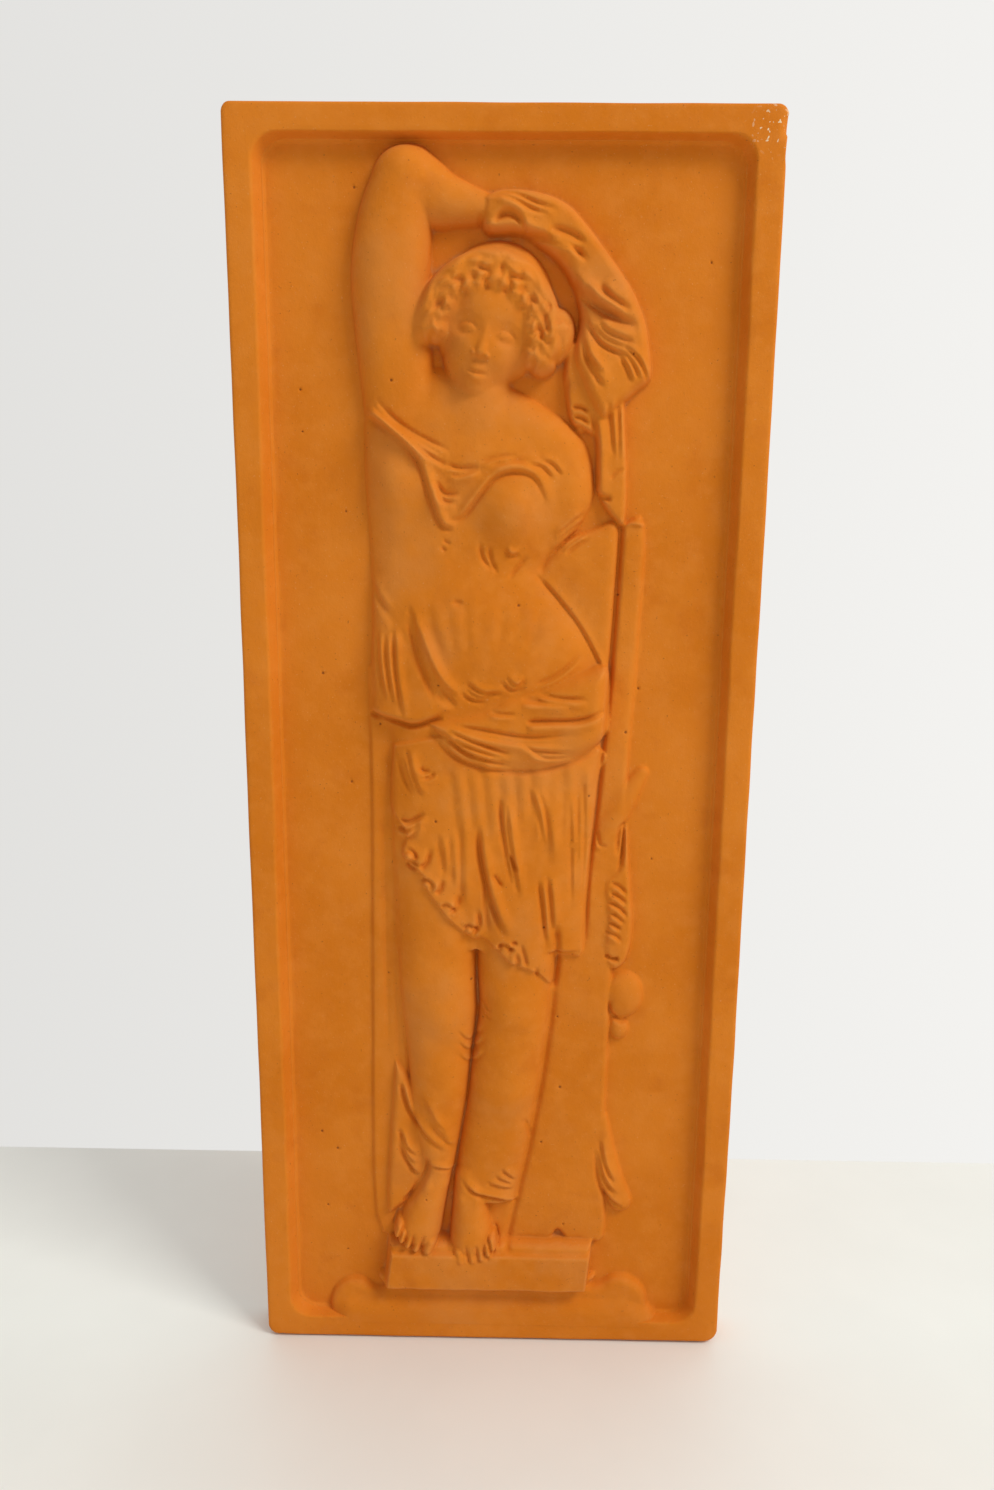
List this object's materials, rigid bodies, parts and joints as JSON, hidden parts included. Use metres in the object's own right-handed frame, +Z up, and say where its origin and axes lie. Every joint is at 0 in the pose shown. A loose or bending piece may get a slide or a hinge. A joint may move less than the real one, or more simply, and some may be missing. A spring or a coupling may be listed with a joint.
{
  "type": "decorative wall plaque",
  "caption": "Tall press-moulded terracotta wall plaque: a raised border frames a draped classical woman in relief, standing on a low plinth beside a pillar hung with cloth.",
  "frame": {"origin": "centre of the flat back, where the plaque lies against the wall", "axes": "+Z up the plaque's height, +Y out of its back into the wall, the relief faces -Y"},
  "size_m": [0.24, 0.032, 0.6],
  "materials": {
    "terracotta": "matt, unglazed, dusty orange-brown clay"
  },
  "bodies": {
    "root": {"plaque": "terracotta"}
  },
  "joints": []
}
